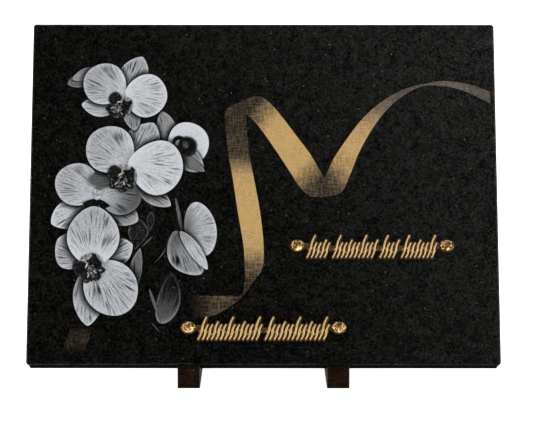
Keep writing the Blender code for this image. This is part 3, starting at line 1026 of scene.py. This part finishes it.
def strip_bronze():
    """Brown patina on the plate and at the strokes' roots, worn to gold on their crests."""
    shader = Shader("patinated_bronze")
    place = shader.place()
    height = height_over_face(shader)
    plate_top = CLEARANCE + PLATE_THICKNESS
    uneven = shader.vary(900, 3.0, -0.0002, 0.0002)
    worn = shader.span(shader.math("ADD", height, uneven), plate_top + WEAR_START, plate_top + WEAR_END)
    brown = shader.mix(shader.noise(place, 500, 3.0), PATINA_DARK, PATINA_PALE)
    gold = shader.mix(shader.noise(place, 700, 3.0), CREST_DEEP, CREST_PALE)
    metallic = shader.span(worn, 0.0, 1.0, 0.45, 0.85)
    rough = shader.vary(1300, 2.0, 0.26, 0.42)
    bump = shader.bump(shader.noise(place, 1500, 2.0), 0.00006)
    return shader.set(Base_Color=shader.mix(worn, brown, gold), Metallic=metallic, Roughness=rough,
                      Normal=bump)


def stud_brass():
    """Bright brass with blotches of tarnish, darker at the foot, and a painted dark reflection on the
    crown.
    """
    shader = Shader("tarnished_brass")
    place = shader.place()
    height = height_over_face(shader)
    rim = CLEARANCE * 2 + PLATE_THICKNESS
    worn = shader.span(height, rim - 0.0002, rim + 0.0014)
    blotch = shader.span(shader.noise(place, 500, 3.0), 0.39, 0.55, 0.0, 1.0)
    # Painted dark reflection: the crown is darkened by its height, to stand for the dark that the facets
    # mirror
    painted_crown_shade = shader.span(height, rim + 0.0028, rim + 0.0042, 0.0, 0.8)
    # Real tarnish blotches and the painted crown shade share one dark colour
    tarnish_and_painted_shade = shader.math("MAXIMUM", blotch, painted_crown_shade)
    colour = shader.mix(worn, BRASS_FOOT, shader.mix(tarnish_and_painted_shade, BRASS_CLEAN, BRASS_TARNISH_AND_PAINTED_SHADE))
    return shader.set(Base_Color=colour, Metallic=1.0, Roughness=shader.vary(900, 2.0, 0.16, 0.30))


# Studio
def make_stage():
    shader = Shader("pale_floor")
    shader.set(Base_Color=(0.93, 0.93, 0.93), Roughness=0.9, Specular_IOR_Level=0.0,
               Emission_Color=(1, 1, 1), Emission_Strength=0.8)
    bm = bmesh.new()
    bmesh.ops.create_circle(bm, cap_ends=True, segments=96, radius=60)
    floor = finish_piece("floor", bm)
    floor.data.materials.append(shader.material)


def make_light(name, place, aim, width, height, power):
    data = bpy.data.lights.new(name, "AREA")
    data.shape = "RECTANGLE"
    data.size = width
    data.size_y = height
    data.energy = power
    light = bpy.data.objects.new(name, data)
    bpy.context.scene.collection.objects.link(light)
    light.location = place
    light.rotation_euler = (Vector(aim) - Vector(place)).to_track_quat("-Z", "Y").to_euler()


# A dark screen stands low on the left in front, where the polished face mirrors it
SCREEN_HEADING = radians(25)
SCREEN_RISE = radians(15)
SCREEN_INNER = 0.880
SCREEN_OUTER = 0.600


def make_world():
    """White all round, and soft dark towards the screen."""
    world = bpy.data.worlds.new("studio")
    bpy.context.scene.world = world
    world.use_nodes = True
    tree = world.node_tree
    way = tree.nodes.new("ShaderNodeTexCoord")
    near = tree.nodes.new("ShaderNodeVectorMath")
    near.operation = "DOT_PRODUCT"
    level = cos(SCREEN_RISE)
    screen = (-sin(SCREEN_HEADING) * level, -cos(SCREEN_HEADING) * level, sin(SCREEN_RISE))
    near.inputs[1].default_value = screen
    bright = tree.nodes.new("ShaderNodeMapRange")
    bright.inputs["From Min"].default_value = SCREEN_INNER
    bright.inputs["From Max"].default_value = SCREEN_OUTER
    tree.links.new(way.outputs["Generated"], near.inputs[0])
    tree.links.new(near.outputs["Value"], bright.inputs["Value"])
    tree.links.new(bright.outputs["Result"], tree.nodes["Background"].inputs["Strength"])
    tree.nodes["Background"].inputs["Color"].default_value = (1, 1, 1, 1)


def make_lights():
    data = bpy.data.lights.new("overhead", "SUN")
    data.energy = 0.6
    data.angle = radians(30)
    sun = bpy.data.objects.new("overhead", data)
    bpy.context.scene.collection.objects.link(sun)
    sun.rotation_euler = (radians(12), radians(-12), 0)
    make_light("left_softbox", (-1.5, -1.1, 0.9), (0, 0, 0.15), 0.8, 0.8, 8)
    make_light("right_softbox", (1.5, -0.9, 1.0), (0, 0, 0.15), 0.6, 0.9, 8)


def main():
    bpy.context.scene.view_settings.view_transform = "Standard"
    make_camera()
    make_stage()
    make_world()
    make_lights()
    rear = honed_granite("honed_black_granite", HONED_DARK, HONED_LIGHT, 0.5)
    # The underside's sawn finish is real; its extra darkness is painted shade under the slab
    under = honed_granite("sawn_black_granite_painted_shade", SAWN_DARK_PAINTED_SHADE, SAWN_LIGHT_PAINTED_SHADE, 0.0)
    face = polished_granite("polished_black_granite", 0.90, 0.11)
    slab_arris = polished_granite("eased_black_granite", 0.45, 0.22)
    low_arris = polished_granite("dull_black_granite", 0.06, 0.30)
    make_slab((face, etched_picture(), gilt_picture(), rear, under, slab_arris, low_arris))
    brown = brown_granite("brown_granite", 0.6, 0.02)
    arris = brown_granite("polished_brown_granite", 0.3, 0.2)
    make_foot("foot_left", brown, arris)
    make_foot("foot_right", brown, arris)
    bronze = strip_bronze()
    brass = stud_brass()
    rows = (
        ("upper", UPPER_STRIP_CENTRE, UPPER_STRIP_RISE, UPPER_GROUPS, UPPER_STROKE_WIDTH),
        ("lower", LOWER_STRIP_CENTRE, LOWER_STRIP_RISE, LOWER_GROUPS, LOWER_STROKE_WIDTH),
    )
    for row, centre, rise, groups, stroke_width in rows:
        make_strip(f"inscription_{row}", centre, rise, groups, stroke_width, bronze)
    for row, centre, rise, *_ in rows:
        for side, sign in (("left", -1), ("right", 1)):
            make_stud(f"stud_{row}_{side}", centre + sign * STUD_SPACING / 2, rise, brass)


main()
